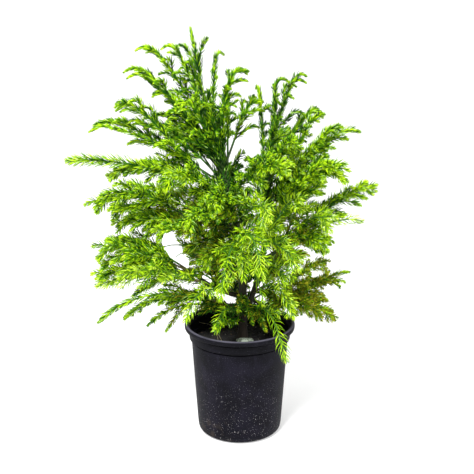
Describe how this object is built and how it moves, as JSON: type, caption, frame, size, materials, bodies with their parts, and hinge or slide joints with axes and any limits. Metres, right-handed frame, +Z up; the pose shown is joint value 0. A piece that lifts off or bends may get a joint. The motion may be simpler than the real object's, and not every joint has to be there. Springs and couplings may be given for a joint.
{
  "type": "dwarf japanese cedar in a nursery pot",
  "caption": "Small bushy conifer with a leaning trunk, a second stem and nodding sprays of short needles, growing in a round plastic nursery pot.",
  "frame": {"origin": "centre of the pot's flat underside", "axes": "+Z up along the pot's axis, -Y towards the front, +X to the right seen from the front"},
  "size_m": [0.4438, 0.3498, 0.614],
  "materials": {
    "plastic": "matt black recycled plastic",
    "mix": "damp dark potting mix",
    "bark": "rough brown bark",
    "dark": "dark green needles",
    "mid": "mid green needles",
    "bright": "bright yellow-green needles",
    "olive": "olive green needles"
  },
  "bodies": {
    "root": {"pot": "plastic", "potting_mix": "mix", "trunk": "bark", "right_stem": "bark", "left_bough": "bark", "left_mid_bough": "bark", "left_high_bough": "bark", "right_low_bough": "bark", "right_mid_bough": "bark", "front_bough": "bark", "top_leader": "dark", "crest_left": "dark", "high_left_outer": "dark", "high_left_lower": "dark", "high_right": "dark", "centre_front": "dark", "centre_back": "dark", "centre_fork": "dark", "upper_left_tuft": "dark", "upper_left_reach": "dark", "long_left": "mid", "right_leader": "dark", "right_fork": "dark", "right_pale": "mid", "right_hook": "dark", "right_reach": "mid", "right_shoulder": "mid", "far_right_upper": "mid", "far_right_lower": "bright", "right_back": "mid", "left_arch": "mid", "left_level": "mid", "left_fan_upper": "mid", "left_fan_lower": "mid", "left_fan_front": "bright", "front_left_droop": "bright", "low_left_droop": "mid", "low_left_tip": "olive", "low_left_hang": "olive", "low_right_tip": "olive", "low_right_hang": "olive", "low_right_front": "olive", "rim_hang": "bright", "rim_left": "bright", "front_right_droop": "bright", "front_low_right": "bright", "front_low_left": "bright", "front_star": "bright", "front_high_right": "bright", "front_high_left": "mid", "front_crown_left": "mid", "front_crown_right": "mid", "back_low_left": "mid", "back_low_right": "mid", "back_mid_left": "mid", "back_mid_centre": "mid", "back_mid_right": "mid", "back_high_left": "mid", "back_high_right": "mid"}
  },
  "joints": []
}
